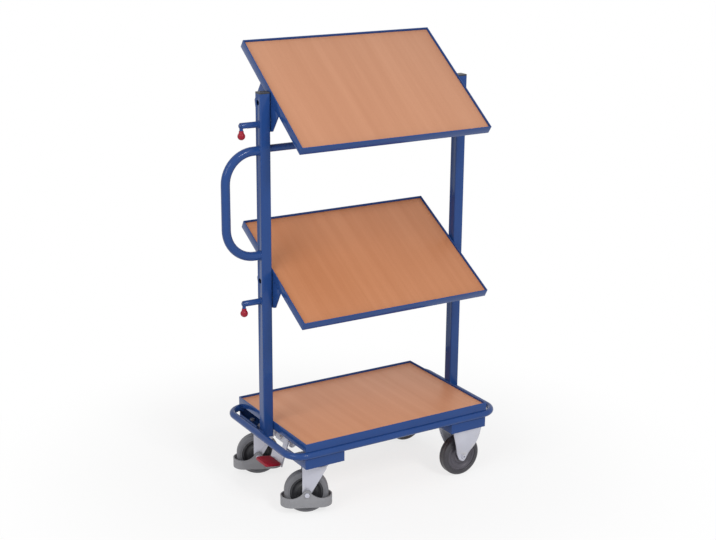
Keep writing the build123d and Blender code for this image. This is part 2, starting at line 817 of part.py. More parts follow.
# Fixed casters: plate and dished bell-shaped legs pressed from one sheet, axle and wheel
def fixed_fork(caster):
    with BuildPart() as fork:
        legs = Plane(caster.origin, x_dir=caster.y_dir, z_dir=caster.x_dir)
        foot = wheel_radius - fork_boss
        knee = wheel_radius + fixed_fork_knee
        shoulder = wheel_radius + fixed_fork_shoulder
        inner = fork_inside / 2
        spread = fixed_fork_spread / 2
        with BuildSketch(legs.offset(-fixed_fork_top / 2)):
            for side in (-1, 1):
                Polygon(
                    (side * inner, foot), (side * (inner + fixed_fork_wall), foot),
                    (side * (inner + fixed_fork_wall), knee), (side * spread, shoulder),
                    (side * spread, plate_underside), (side * (spread - fixed_fork_wall), plate_underside),
                    (side * (spread - fixed_fork_wall), shoulder), (side * inner, knee),
                    align=None,
                )
        extrude(amount=fixed_fork_top)
        with BuildSketch(caster_side(caster, spread)):
            half = fixed_fork_top / 2
            with BuildLine():
                edge_x = (half + fork_boss) / 2 + fixed_fork_sag
                edge_z = (plate_underside + wheel_radius) / 2
                Line((-half, plate_underside), (half, plate_underside))
                ThreePointArc((half, plate_underside), (edge_x, edge_z), (fork_boss, wheel_radius))
                Line((fork_boss, wheel_radius), (-fork_boss, wheel_radius))
                ThreePointArc((-fork_boss, wheel_radius), (-edge_x, edge_z), (-half, plate_underside))
            make_face()
            with Locations((0, wheel_radius)):
                Circle(fork_boss)
        extrude(amount=fixed_fork_spread, mode=Mode.INTERSECT)
        with BuildSketch(caster.offset(plate_underside)):
            RectangleRounded(plate_length, fixed_fork_spread + 2 * fixed_plate_edge, plate_corner)
            with GridLocations(bolt_pitch_x, bolt_pitch_y, 2, 2):
                Circle(bolt_diameter / 2 + bolt_play, mode=Mode.SUBTRACT)
        extrude(amount=plate_wall)
        with BuildSketch(caster_side(caster, spread)):
            with Locations((0, wheel_radius)):
                Circle(bolt_diameter / 2 + running_fit)
        extrude(amount=fixed_fork_spread, mode=Mode.SUBTRACT)
    return fork


fixed_grip = fork_inside / 2 + fixed_fork_wall
fixed_axles = []
fixed_bushes = []
for fixed_name, side in (("front", -1), ("rear", 1)):
    caster = Plane((fixed_x, side * caster_y, 0), x_dir=(-1, 0, 0), z_dir=(0, 0, 1))
    keep(fixed_fork(caster), f"fixed_fork_{fixed_name}")
    keep(wheel_core(caster, 0), f"fixed_core_{fixed_name}")
    keep(wheel_tyre(caster, 0), f"fixed_tyre_{fixed_name}")
    fixed_axles.append(axle_set(caster, 0, fixed_grip).part)
    fixed_bushes.append(wheel_bush(caster, 0).part)
for group_name, group in (("fixed_axles", fixed_axles), ("fixed_bushes", fixed_bushes)):
    with BuildPart() as pair:
        add(group)
    keep(pair, group_name)

# Brake shaft across the trolley above the kingpins, in bearing plates that stand on the pocket floors
kingpin_clear = kingpin_flange / 2 + kingpin_play
bearing_places = [-pocket_back + bearing_inset, caster_y + kingpin_clear + bearing_play]
shaft_half = bearing_places[1] + bearing_wall + bearing_play

with BuildPart() as brake_shaft:
    with BuildSketch(square_to_y(-shaft_half)):
        with Locations((swivel_x, shaft_z)):
            Circle(shaft_diameter / 2)
    extrude(amount=-2 * shaft_half)
    chamfer(brake_shaft.edges().filter_by(GeomType.CIRCLE), length=1)
keep(brake_shaft, "brake_shaft")

with BuildPart() as shaft_bearings:
    for side in (-1, 1):
        for place in bearing_places:
            with BuildSketch(square_to_y(side * place)):
                with Locations((swivel_x, (pocket_floor_top + shaft_z) / 2)):
                    Rectangle(bearing_width, shaft_z - pocket_floor_top)
                with Locations((swivel_x, shaft_z)):
                    Circle(bearing_width / 2)
                    Circle(shaft_diameter / 2 + running_fit, mode=Mode.SUBTRACT)
            extrude(amount=-side * bearing_wall)
keep(shaft_bearings, "shaft_bearings")

with BuildPart() as brake_cams:
    dip = radians(cam_angle)
    for side in (-1, 1):
        with BuildSketch(square_to_y(side * caster_y)):
            with Locations((swivel_x, shaft_z)):
                Circle(cam_radius)
            with Locations((swivel_x - cam_throw * cos(dip), shaft_z - cam_throw * sin(dip))):
                Circle(cam_radius)
            make_hull()
            with Locations((swivel_x, shaft_z)):
                Circle(shaft_diameter / 2, mode=Mode.SUBTRACT)
        extrude(amount=cam_width / 2, both=True)
keep(brake_cams, "brake_cams")

# Pedal: a treadle plate cut open behind its arm, hung by a cross pin from two lugs on the shaft
pad_plane = Plane(
    (swivel_x - pedal_reach, 0, shaft_z - pedal_fall),
    x_dir=(cos(radians(pedal_lean)), 0, -sin(radians(pedal_lean))),
    z_dir=(sin(radians(pedal_lean)), 0, cos(radians(pedal_lean))),
)
treadle_plane = Plane(
    pad_plane.from_local_coords((pad_length / 2 + face_gap, 0, 0)),
    x_dir=(0, 1, 0),
    z_dir=(cos(radians(treadle_lean)), 0, -sin(radians(treadle_lean))),
)

with BuildPart() as pedal_arm:
    treadle_half = treadle_width / 2
    with BuildSketch(treadle_plane) as treadle:
        with Locations((0, (treadle_rise - seat_wall) / 2)):
            Rectangle(treadle_width, treadle_rise + seat_wall)
        fillet(treadle.vertices().group_by(Axis.Y)[-1], radius=treadle_corner)
        Polygon(
            (treadle_arm - treadle_half, window_low), (treadle_half, window_low),
            (treadle_half, window_high), (treadle_arm - treadle_half, window_high),
            align=None, mode=Mode.SUBTRACT,
        )
    extrude(amount=treadle_wall)
    with BuildSketch(pad_plane.offset(-seat_wall)):
        with Locations(((pad_length + treadle_wall - seat_length) / 2, 0)):
            Rectangle(seat_length, seat_width)
    extrude(amount=seat_wall)
    pin = treadle_plane.from_local_coords((0, pin_height, treadle_wall + pin_diameter / 2 - pin_weld))
    with BuildSketch(square_to_y(-lug_span / 2 - lug_wall)):
        with Locations((pin.X, pin.Z)):
            Circle(pin_diameter / 2)
    extrude(amount=-lug_span - 2 * lug_wall)
    for side in (-1, 1):
        with BuildSketch(square_to_y(side * lug_span / 2)):
            with Locations((swivel_x, shaft_z)):
                Circle(lug_hub)
            with Locations((pin.X, pin.Z)):
                Circle(lug_end)
            make_hull()
            with Locations((swivel_x, shaft_z)):
                Circle(shaft_diameter / 2, mode=Mode.SUBTRACT)
        extrude(amount=-side * lug_wall)
keep(pedal_arm, "pedal_arm")

with BuildPart() as pedal_pad:
    with BuildSketch(pad_plane):
        RectangleRounded(pad_length, pad_width, 2 * pad_round)
    extrude(amount=pad_height)
    fillet(pedal_pad.faces().sort_by(Axis.Z)[-1].edges(), radius=pad_round)
keep(pedal_pad, "pedal_pad")
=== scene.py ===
import json
from math import asin, atan, atan2, cos, pi, radians, sin, sqrt

import bmesh
import bpy
from mathutils import Matrix, Vector


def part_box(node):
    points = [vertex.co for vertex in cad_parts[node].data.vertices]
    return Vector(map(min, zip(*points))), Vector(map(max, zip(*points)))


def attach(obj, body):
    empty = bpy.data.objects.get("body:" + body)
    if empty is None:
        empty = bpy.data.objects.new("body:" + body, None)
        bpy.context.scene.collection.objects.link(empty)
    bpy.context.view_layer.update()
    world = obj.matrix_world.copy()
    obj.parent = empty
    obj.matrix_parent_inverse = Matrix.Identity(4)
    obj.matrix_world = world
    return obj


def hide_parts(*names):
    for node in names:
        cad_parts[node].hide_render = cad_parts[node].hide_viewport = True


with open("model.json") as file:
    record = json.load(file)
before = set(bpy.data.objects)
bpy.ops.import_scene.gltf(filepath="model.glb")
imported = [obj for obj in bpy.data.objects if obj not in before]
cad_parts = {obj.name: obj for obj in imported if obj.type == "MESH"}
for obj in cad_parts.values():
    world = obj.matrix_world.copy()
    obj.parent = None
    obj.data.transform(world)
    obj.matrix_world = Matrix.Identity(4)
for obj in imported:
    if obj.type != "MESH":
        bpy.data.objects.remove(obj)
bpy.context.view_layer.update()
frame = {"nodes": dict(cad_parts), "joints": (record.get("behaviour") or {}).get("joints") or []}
joints = {joint["name"]: joint for joint in frame["joints"]}


# Deck and shelf rims. Steel angle, mitred and welded at the corners and ground
# flush, then powder coated blue together with the rest of the frame. The boards
# drop onto the inward leg and lie a little below the rounded upper edge.
class Shade:
    """One output in a material's nodes; sums and products of outputs add Math nodes."""

    def __init__(self, tree, socket=None):
        self.tree = tree
        self.socket = socket

    def node(self, kind, inputs=None, output=0, **settings):
        made = self.tree.nodes.new(f"ShaderNode{kind}")
        for name, value in settings.items():
            setattr(made, name, value)
        for name, value in (inputs or {}).items():
            if isinstance(value, Shade):
                self.tree.links.new(value.socket, made.inputs[name])
            else:
                made.inputs[name].default_value = value
        return Shade(self.tree, made.outputs[output] if made.outputs else None)

    def __add__(self, other):
        return self.node("Math", {0: self, 1: other}, operation="ADD")

    def __sub__(self, other):
        return self.node("Math", {0: self, 1: other}, operation="SUBTRACT")

    def __rsub__(self, other):
        return self.node("Math", {0: other, 1: self}, operation="SUBTRACT")

    def __mul__(self, other):
        return self.node("Math", {0: self, 1: other}, operation="MULTIPLY")

    __radd__ = __add__
    __rmul__ = __mul__


def new_finish(name):
    """An empty material, with the shade that its nodes are made from and its Object coordinates."""
    material = bpy.data.materials.new(name)
    material.use_nodes = True
    material.node_tree.nodes.clear()
    shade = Shade(material.node_tree)
    return material, shade, shade.node("TexCoord", output="Object")


def noise(shade, place, scale, detail=2.0, rough=0.5):
    """Soft noise from 0 to 1, with about this many swells in a unit of its place."""
    return shade.node("TexNoise", {"Vector": place, "Scale": scale, "Detail": detail, "Roughness": rough})


def between(shade, factor, low, high):
    """A colour that goes from low to high with the factor."""
    return shade.node("Mix", {0: factor, 6: (*low, 1), 7: (*high, 1)}, output=2, data_type="RGBA")


def over(shade, factor, under, top):
    """A plain colour laid over a shaded one where the factor says."""
    return shade.node("Mix", {0: factor, 6: under, 7: (*top, 1)}, output=2, data_type="RGBA")


def ramp(shade, value, low, high):
    """0 below low, 1 above high and smooth between them."""
    inputs = {"Value": value, "From Min": low, "From Max": high}
    return shade.node("MapRange", inputs, interpolation_type="SMOOTHSTEP")


def bumps(shade, height, depth, strength):
    """The normal of a surface with this height pressed into it, depth in metres."""
    return shade.node("Bump", {"Height": height, "Distance": depth, "Strength": strength})


def close_finish(shade, **surface):
    """Ends a material in one surface; an underscore stands for a space in a socket's name."""
    inputs = {name.replace("_", " "): value for name, value in surface.items()}
    shade.node("OutputMaterial", {"Surface": shade.node("BsdfPrincipled", inputs)})


blue_deep, blue_pale, blue_speck = (0.015, 0.052, 0.192), (0.020, 0.064, 0.230), (0.040, 0.095, 0.300)
blue_paint, shade, place = new_finish("blue_powder_coat")
drift = noise(shade, place, scale=7.0)
peel = noise(shade, place, scale=380.0, detail=1.0)
grit = noise(shade, place, scale=2400.0, detail=0.0)
speck = ramp(shade, noise(shade, place, scale=900.0, detail=0.0), low=0.70, high=0.78)
paint = over(shade, speck * 0.25, between(shade, drift, blue_deep, blue_pale), blue_speck)
close_finish(
    shade, Base_Color=paint, Roughness=0.12 + peel * 0.08,
    Normal=bumps(shade, peel + grit * 0.35, depth=0.00006, strength=0.45),
    Specular_IOR_Level=0.22,
)


def take(piece):
    """Leaves this piece alone selected and active."""
    bpy.ops.object.select_all(action="DESELECT")
    piece.select_set(True)
    bpy.context.view_layer.objects.active = piece


def edit(piece):
    """Opens a piece in edit mode with all of it selected."""
    take(piece)
    bpy.ops.object.mode_set(mode="EDIT")
    bpy.ops.mesh.select_mode(type="VERT")
    bpy.ops.mesh.select_all(action="SELECT")


def done():
    """Leaves edit mode."""
    bpy.ops.object.mode_set(mode="OBJECT")


def pick(piece, kind, test):
    """In edit mode, selects only the faces, edges or verts that pass the test."""
    bpy.ops.mesh.select_all(action="DESELECT")
    bpy.ops.mesh.select_mode(type={"faces": "FACE", "edges": "EDGE", "verts": "VERT"}[kind])
    mesh = bmesh.from_edit_mesh(piece.data)
    for item in getattr(mesh, kind):
        item.select_set(test(item))
    mesh.select_flush_mode()
    bmesh.update_edit_mesh(piece.data)


square_on = 0.9


def faces_up(face):
    return face.normal.z > square_on


def faces_down(face):
    return face.normal.z < -square_on


def apply_all(piece):
    """Puts a piece's modifiers into its mesh."""
    take(piece)
    for modifier in list(piece.modifiers):
        bpy.ops.object.modifier_apply(modifier=modifier.name)


def ease_edges(piece, width, segments=2, angle=32):
    """Rounds the edges of a piece that are sharper than the angle."""
    bevel = piece.modifiers.new("eased_edges", "BEVEL")
    bevel.width = width
    bevel.segments = segments
    bevel.limit_method = "ANGLE"
    bevel.angle_limit = radians(angle)
    apply_all(piece)


def smooth(piece, angle=38):
    """Shades a piece smooth, apart from edges that are sharper than the angle."""
    take(piece)
    bpy.ops.object.shade_smooth_by_angle(angle=radians(angle))


def block(*sizes, base=0.0):
    """A block of these sizes round the upright axis, with its underside at the height base."""
    bpy.ops.object.select_all(action="DESELECT")
    bpy.ops.mesh.primitive_cube_add(size=1, location=(0, 0, base + sizes[2] / 2))
    piece = bpy.context.object
    piece.scale = sizes
    bpy.ops.object.transform_apply(location=True, rotation=True, scale=True)
    return piece


def settle(piece, middle=(0, 0, 0), turn=(0, 0, 0)):
    """Turns a piece about the origin, moves it to its middle and puts that into its mesh."""
    take(piece)
    piece.rotation_euler = turn
    piece.location = middle
    bpy.ops.object.transform_apply(location=True, rotation=True, scale=True)


def fit(piece, name, body, finish, slot, *nodes):
    """Gives a finished piece its name and finish, and puts it on its body in its nodes' place."""
    piece.name = name
    piece.data.name = name
    piece.data.materials.clear()
    piece.data.materials.append(finish)
    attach(piece, body)
    if nodes:
        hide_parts(*nodes)


rim_wall = 0.003
rim_corner = 0.0014
bracket_rise = 0.008
deck_low, deck_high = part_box("deck_rim")
rim_depth = deck_high.y - deck_low.y
rim_height = deck_high.z - deck_low.z
deck_middle = Vector(((deck_low.x + deck_high.x) / 2, 0, deck_low.z))
shelf_places = {"deck": ("frame", deck_middle, 0.0)}
for shelf in ("top", "mid"):
    hinge = joints[f"{shelf}_shelf_tilt"]
    tilt = -radians(hinge["range_deg"][0]) / 2
    seat = Vector(hinge["pos_m"]) + bracket_rise * Vector((0, -sin(tilt), cos(tilt)))
    shelf_places[shelf] = (f"{shelf}_shelf", seat, tilt)

for shelf, (body, seat, tilt) in shelf_places.items():
    low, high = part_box(f"{shelf}_rim")
    rim = block(high.x - low.x, rim_depth, rim_height)
    edit(rim)
    pick(rim, "faces", faces_up)
    bpy.ops.mesh.delete(type="FACE")
    pick(rim, "faces", faces_down)
    bpy.ops.mesh.inset(thickness=rim_height, use_even_offset=True)
    bpy.ops.mesh.delete(type="FACE")
    done()
    wall = rim.modifiers.new("wall", "SOLIDIFY")
    wall.thickness = rim_wall
    wall.offset = -1
    wall.use_even_offset = True
    ease_edges(rim, rim_corner, segments=3)
    smooth(rim)
    settle(rim, seat, (tilt, 0, 0))
    fit(rim, f"{shelf}_angle_rim", body, blue_paint, "blue_paint", f"{shelf}_rim")

# Boards. Beech-faced board with eased edges, lacquered; the grain runs from
# front to back, with broad soft bands and the short dark flecks of beech.
board_corner = 0.0014
board_shift = 0.37
fleck_brown = (0.30, 0.125, 0.060)
board_low, board_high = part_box("deck_board")
board_depth = board_high.y - board_low.y
board_height = board_high.z - board_low.z


def beech(name, seat, tilt, shift, pale, deep):
    """The finish of one board; the shift takes its figure from another place in the wood."""
    material, shade, place = new_finish(name)

    def along(width, length, offset):
        """The board's own coordinates, in units of a figure's width and length."""
        inputs = {"Vector": place, "Location": seat + Vector((offset, shift, 0)), "Rotation": (tilt, 0, 0),
                  "Scale": (width, length, width)}
        return shade.node("Mapping", inputs, vector_type="TEXTURE")

    bands = noise(shade, along(width=0.16, length=1.3, offset=0.11), scale=1.0)
    streaks = noise(shade, along(width=0.024, length=0.75, offset=0.23), scale=1.0, detail=3.0, rough=0.55)
    fibre = noise(shade, along(width=0.0011, length=0.030, offset=0.31), scale=1.0)
    pores = noise(shade, along(width=0.0007, length=0.0046, offset=0.47), scale=1.0, detail=0.0)
    flecks = ramp(shade, pores, low=0.69, high=0.76)
    figure = bands * 0.40 + streaks * 0.46 + fibre * 0.14
    wood = between(shade, ramp(shade, figure, low=0.25, high=0.75), pale, deep)
    wood = over(shade, flecks * 0.22, wood, fleck_brown)
    close_finish(
        shade, Base_Color=wood, Roughness=0.40 + streaks * 0.10 + flecks * 0.05,
        Normal=bumps(shade, fibre * 0.6 - flecks * 0.6, depth=0.00005, strength=0.45),
        Specular_IOR_Level=0.30,
    )
    return material


# Each board's tones follow how bright it looks, so they hold painted light as well as the beech's own
# colour: the deck's are raised to make up for the shade the shelves above cast on it, and the top board is
# lighter for the light falling on it from above.
board_tones_with_painted_light = {
    "deck": ((0.640, 0.295, 0.158), (0.553, 0.236, 0.117)),
    "mid": ((0.572, 0.248, 0.121), (0.490, 0.194, 0.086)),
    "top": ((0.572, 0.278, 0.162), (0.496, 0.226, 0.124)),
}
for index, (shelf, (body, seat, tilt)) in enumerate(shelf_places.items()):
    low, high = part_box(f"{shelf}_board")
    board = block(high.x - low.x, board_depth, board_height, base=rim_wall)
    ease_edges(board, board_corner, segments=3)
    smooth(board)
    settle(board, seat, (tilt, 0, 0))
    lacquered = beech(f"beech_board_{shelf}", seat, tilt, board_shift * index, *board_tones_with_painted_light[shelf])
    fit(board, f"{shelf}_beech_board", body, lacquered, "board", f"{shelf}_board")

# Bumper ring. One round tube bent to a closed ring, flat under the deck rim
# and tangent to the outer faces of both uprights.
tube_sides = 40
bend_steps = 14
seam_reach = 0.00001
ring_bend = 0.050
ring_low, ring_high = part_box("bumper_tube")
ring_radius = (ring_high.z - ring_low.z) / 2


def tube_end(radius, middle, heading, sides=tube_sides):
    """Starts a tube: a circle across its heading, in edit mode and selected."""
    bpy.ops.object.select_all(action="DESELECT")
    turn = Vector((0, 0, 1)).rotation_difference(Vector(heading)).to_euler()
    bpy.ops.mesh.primitive_circle_add(vertices=sides, radius=radius, location=middle, rotation=turn)
    tube = bpy.context.object
    bpy.ops.object.transform_apply(location=True, rotation=True, scale=True)
    edit(tube)
    return tube


def run(*step):
    """Extrudes what is selected straight on, such as a tube's open end."""
    bpy.ops.mesh.extrude_region_move(TRANSFORM_OT_translate={"value": step})


def bend(centre, axis, angle, steps=bend_steps):
    """Bends the tube's open end round the centre, right-handed about the axis."""
    bpy.ops.mesh.spin(steps=steps, angle=-angle, center=centre, axis=axis)


def close_tube(tube, wall=None):
    """Merges the tube's seams and gives it its wall."""
    bpy.ops.mesh.select_all(action="SELECT")
    bpy.ops.mesh.remove_doubles(threshold=seam_reach)
    bpy.ops.mesh.normals_make_consistent(inside=False)
    done()
    if wall:
        thick = tube.modifiers.new("wall", "SOLIDIFY")
        thick.thickness = wall
        thick.offset = -1
        apply_all(tube)
    smooth(tube)


ring_x = (ring_high.x - ring_low.x) / 2 - ring_radius
ring_y = ring_high.y - ring_radius
ring_z = (ring_low.z + ring_high.z) / 2
middle_x = (ring_low.x + ring_high.x) / 2
turn_x = ring_x - ring_bend
turn_y = ring_y - ring_bend
ring = tube_end(ring_radius, (middle_x - turn_x, -ring_y, ring_z), (1, 0, 0))
run(2 * turn_x, 0, 0)
bend((middle_x + turn_x, -turn_y, ring_z), (0, 0, 1), pi / 2)
run(0, 2 * turn_y, 0)
bend((middle_x + turn_x, turn_y, ring_z), (0, 0, 1), pi / 2)
run(-2 * turn_x, 0, 0)
bend((middle_x - turn_x, turn_y, ring_z), (0, 0, 1), pi / 2)
run(0, -2 * turn_y, 0)
bend((middle_x - turn_x, -turn_y, ring_z), (0, 0, 1), pi / 2)
close_tube(ring)
fit(ring, "bumper_ring", "frame", blue_paint, "blue_paint", "bumper_tube")

# Push handle and cross tube. The handle is one tube with two bends, welded to
# the left upright; the cross tube ties the uprights together, level with the
# handle's upper arm.
handle_bend = 0.084
handle_wall = 0.002
cross_wall = 0.0015
low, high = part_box("push_handle")
handle_radius = high.y
arm_z = high.z - handle_radius
foot_z = low.z + handle_radius
bar_x = low.x + handle_radius
upright_face = high.x
handle = tube_end(handle_radius, (upright_face, 0, arm_z), (-1, 0, 0))
run(bar_x + handle_bend - upright_face, 0, 0)
bend((bar_x + handle_bend, 0, arm_z - handle_bend), (0, 1, 0), -pi / 2)
run(0, 0, foot_z - arm_z + 2 * handle_bend)
bend((bar_x + handle_bend, 0, foot_z + handle_bend), (0, 1, 0), -pi / 2)
run(upright_face - bar_x - handle_bend, 0, 0)
close_tube(handle, handle_wall)
fit(handle, "push_handle_tube", "frame", blue_paint, "blue_paint", "push_handle")

cross_low, cross_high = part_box("cross_tube")
cross_z = (cross_low.z + cross_high.z) / 2
cross = tube_end(cross_high.y, (cross_low.x, 0, cross_z), (1, 0, 0))
run(cross_high.x - cross_low.x, 0, 0)
close_tube(cross, cross_wall)
fit(cross, "cross_tube_round", "frame", blue_paint, "blue_paint", "cross_tube")

# Uprights, brackets, caster pockets and latch sleeves. Cut and folded steel
# with its edges rounded by the press, under the same coat of paint.
pocket_ease, upright_ease, bracket_ease, sleeve_ease = 0.0007, 0.0003, 0.0006, 0.0006
corner_reach, flat_angle = 0.00002, radians(0.6)


def copy_of(piece):
    """A copy of a piece with its own mesh."""
    copy = bpy.data.objects.new("copy", piece.data.copy())
    bpy.context.scene.collection.objects.link(copy)
    return copy


def eased(node, body, finish, slot, width, segments=2):
    """A copy of a CAD node with its corners merged and its edges rounded, in the node's place."""
    piece = copy_of(frame["nodes"][node])
    edit(piece)
    if piece.data.has_custom_normals:
        bpy.ops.mesh.customdata_custom_splitnormals_clear()
    bpy.ops.mesh.remove_doubles(threshold=corner_reach)
    bpy.ops.mesh.dissolve_limited(angle_limit=flat_angle)
    done()
    ease_edges(piece, width, segments)
    smooth(piece)
    fit(piece, f"{node}_eased", body, finish, slot, node)
    return piece


for corner in ("front_left", "front_right", "rear_left", "rear_right"):
    eased(f"pocket_{corner}", "frame", blue_paint, "blue_paint", pocket_ease)
for side in ("left", "right"):
    eased(f"upright_{side}", "frame", blue_paint, "blue_paint", upright_ease)
for shelf in ("top", "mid"):
    eased(f"{shelf}_brackets", f"{shelf}_shelf", blue_paint, "blue_paint", bracket_ease)
eased("latch_sleeves", "frame", blue_paint, "blue_paint", sleeve_ease)

# Weld beads. Rippled seams laid round the ends of the tubes and sleeves and
# along the brackets and uprights, painted over with the frame.
bead_radius = 0.0021
bead_ripple = 0.0005
bead_sides = 10
bead_pitch = 0.0006
bead_angle = 80
ripple_pitch = 3
seam_half, seam_rise, seam_inset = 0.013, 0.0062, 0.0008
bracket_half, bracket_wall = 0.056, 0.004


def finish_bead(bead, name, body):
    """Pinches every few rings of a bead, as the weld pool leaves it, and fits it."""
    pick(bead, "verts", lambda vert: vert.index // bead_sides % ripple_pitch == 0)
    bpy.ops.transform.shrink_fatten(value=-bead_ripple)
    done()
    smooth(bead, bead_angle)
    fit(bead, name, body, blue_paint, "blue_paint")


def weld_ring(name, body, middle, heading, radius):
    """A bead round the end of a tube."""
    bpy.ops.object.select_all(action="DESELECT")
    turn = Vector((0, 0, 1)).rotation_difference(Vector(heading)).to_euler()
    rings = ripple_pitch * int(2 * pi * radius / bead_pitch / ripple_pitch)
    bpy.ops.mesh.primitive_torus_add(
        major_segments=rings, minor_segments=bead_sides, major_radius=radius, minor_radius=bead_radius,
        location=middle, rotation=turn,
    )
    bead = bpy.context.object
    bpy.ops.object.transform_apply(location=True, rotation=True, scale=True)
    edit(bead)
    finish_bead(bead, name, body)


def weld_line(name, body, start, end):
    """A straight bead."""
    along = Vector(end) - Vector(start)
    rings = int(along.length / bead_pitch)
    bead = tube_end(bead_radius, start, along.normalized(), bead_sides)
    bpy.ops.mesh.edge_face_add()
    for _ in range(rings):
        run(*(along / rings))
    bpy.ops.mesh.select_all(action="SELECT")
    bpy.ops.mesh.normals_make_consistent(inside=False)
    finish_bead(bead, name, body)


weld_ring("handle_weld_upper", "frame", (upright_face, 0, arm_z), (1, 0, 0), handle_radius)
weld_ring("handle_weld_lower", "frame", (upright_face, 0, foot_z), (1, 0, 0), handle_radius)
weld_ring("cross_weld_left", "frame", (cross_low.x, 0, cross_z), (1, 0, 0), cross_high.y)
weld_ring("cross_weld_right", "frame", (cross_high.x, 0, cross_z), (1, 0, 0), cross_high.y)
sleeve_low, sleeve_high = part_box("latch_sleeves")
sleeve_radius = sleeve_high.y
latch_levels = {"top": sleeve_high.z - sleeve_radius, "mid": sleeve_low.z + sleeve_radius}
for level, height in latch_levels.items():
    weld_ring(f"sleeve_weld_{level}", "frame", (sleeve_high.x, 0, height), (1, 0, 0), sleeve_radius)
seam_z = ring_z + seam_rise
left_face = ring_low.x + 2 * ring_radius - seam_inset
right_face = ring_high.x - 2 * ring_radius + seam_inset
for side, face in (("left", left_face), ("right", right_face)):
    weld_line(f"upright_seam_{side}", "frame", (face, -seam_half, seam_z), (face, seam_half, seam_z))
for shelf in ("top", "mid"):
    body, seat, tilt = shelf_places[shelf]
    low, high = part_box(f"{shelf}_brackets")
    on_shelf = Matrix.Translation(seat) @ Matrix.Rotation(tilt, 4, "X")
    for side, inner in (("left", low.x + bracket_wall - seat.x), ("right", high.x - bracket_wall - seat.x)):
        start = on_shelf @ Vector((inner, -bracket_half, 0))
        end = on_shelf @ Vector((inner, bracket_half, 0))
        weld_line(f"{shelf}_bracket_seam_{side}", body, start, end)

# Tube caps. Black plastic plugs with a soft rounded head, pressed into the
# open tops of the uprights.
black_deep, black_pale = (0.014, 0.014, 0.017), (0.026, 0.026, 0.031)
black_plastic, shade, place = new_finish("black_plastic")
grain = noise(shade, place, scale=1500.0)
haze = noise(shade, place, scale=40.0)
close_finish(
    shade, Base_Color=between(shade, haze, black_deep, black_pale), Roughness=0.38 + haze * 0.14,
    Normal=bumps(shade, grain, depth=0.00008, strength=0.6),
)


def dress(node, finish):
    """Gives a CAD node that stays in the scene its finish."""
    frame["nodes"][node].data.materials.clear()
    frame["nodes"][node].data.materials.append(finish)


dress("upright_caps", black_plastic)

# Caster plates, forks, brake parts and fasteners. Pressed and turned steel,
# zinc plated: bright, with a cool grey mottle, a faint straw tint and fine
# lines left by the rolling mill.
zinc_deep, zinc_pale, zinc_straw = (0.468, 0.474, 0.550), (0.604, 0.610, 0.682), (0.620, 0.600, 0.540)
plate_ease, fork_ease, axle_ease, plunger_ease, small_ease = 0.0006, 0.0010, 0.0007, 0.0005, 0.0006
zinc, shade, place = new_finish("zinc_plate")
cloud = noise(shade, place, scale=22.0, detail=3.0)
spangle = noise(shade, place, scale=240.0)
tint = ramp(shade, noise(shade, place, scale=34.0), low=0.52, high=0.72)
rolled = shade.node("Mapping", {"Vector": place, "Scale": (1800.0, 1800.0, 60.0)})
scratch = noise(shade, rolled, scale=1.0)
plate = between(shade, cloud * 0.65 + spangle * 0.35, zinc_deep, zinc_pale)
plate = over(shade, tint * 0.35, plate, zinc_straw)
close_finish(
    shade, Base_Color=plate, Metallic=0.45, Roughness=0.34 + spangle * 0.16,
    Normal=bumps(shade, spangle + scratch * 0.4, depth=0.00006, strength=0.5),
)
for node in ("pivot_washers", "latch_spring_top", "latch_spring_mid", "fixed_bushes"):
    dress(node, zinc)
for end in ("front", "rear"):
    dress(f"swivel_bush_{end}", zinc)
    eased(f"swivel_plate_{end}", "frame", zinc, "zinc", plate_ease)
    eased(f"swivel_fork_{end}", f"swivel_{end}", zinc, "zinc", fork_ease)
    eased(f"swivel_axle_{end}", f"swivel_{end}", zinc, "zinc", axle_ease)
    eased(f"brake_plunger_{end}", f"brake_plunger_{end}", zinc, "zinc", plunger_ease)
for node in ("shaft_bearings", "caster_bolts", "caster_nuts", "pivot_bolts", "pivot_nuts"):
    eased(node, "frame", zinc, "zinc", small_ease)
for node in ("brake_shaft", "brake_cams", "pedal_arm"):
    eased(node, "brake_pedal", zinc, "zinc", small_ease)

# Treadle bolt. A domed steel bolt with a washer, drawn up against the upper
# strap of the pedal's plate.
pad_reach, pad_drop = 0.0785, 0.072
pad_seat = Vector(joints["brake_pedal_lift"]["pos_m"]) + Vector((-pad_reach, 0, -pad_drop))
pedal_lean = radians(8.5)
treadle_lean = radians(17.5)
pad_length = 0.050
washer_radius, washer_height = 0.0075, 0.0014
washer_side, washer_top = 0.7, 0.95
dome_radius, dome_height, dome_steps = 0.0056, 0.0042, 8
bolt_up, bolt_across = 0.0725, 0.010
lathe_steps = 48
start_size = 0.001


def draw(points):
    """Draws a line from point to point, in edit mode and selected all over."""
    bpy.ops.object.select_all(action="DESELECT")
    bpy.ops.mesh.primitive_plane_add(size=start_size, location=(0, 0, 0))
    line = bpy.context.object
    edit(line)
    bpy.ops.mesh.merge(type="CENTER")
    bpy.ops.transform.translate(value=points[0])
    for (x, y, z), (next_x, next_y, next_z) in zip(points, points[1:]):
        step = (next_x - x, next_y - y, next_z - z)
        bpy.ops.mesh.extrude_vertices_move(TRANSFORM_OT_translate={"value": step})
    bpy.ops.mesh.select_all(action="SELECT")
    return line


def lathe(profile, steps=lathe_steps):
    """Turns a profile of radius and height round the upright axis."""
    piece = draw([(radius, 0, height) for radius, height in profile])
    bpy.ops.mesh.spin(steps=steps, angle=2 * pi, center=(0, 0, 0), axis=(0, 0, 1))
    bpy.ops.mesh.select_all(action="SELECT")
    bpy.ops.mesh.remove_doubles(threshold=seam_reach)
    bpy.ops.mesh.normals_make_consistent(inside=False)
    done()
    return piece


def arc(middle, radius, first, last, steps):
    """Points of a profile on an arc, by angle from the outward direction."""
    turns = [first + (last - first) * step / steps for step in range(steps + 1)]
    return [(middle[0] + radius * cos(turn), middle[1] + radius * sin(turn)) for turn in turns]


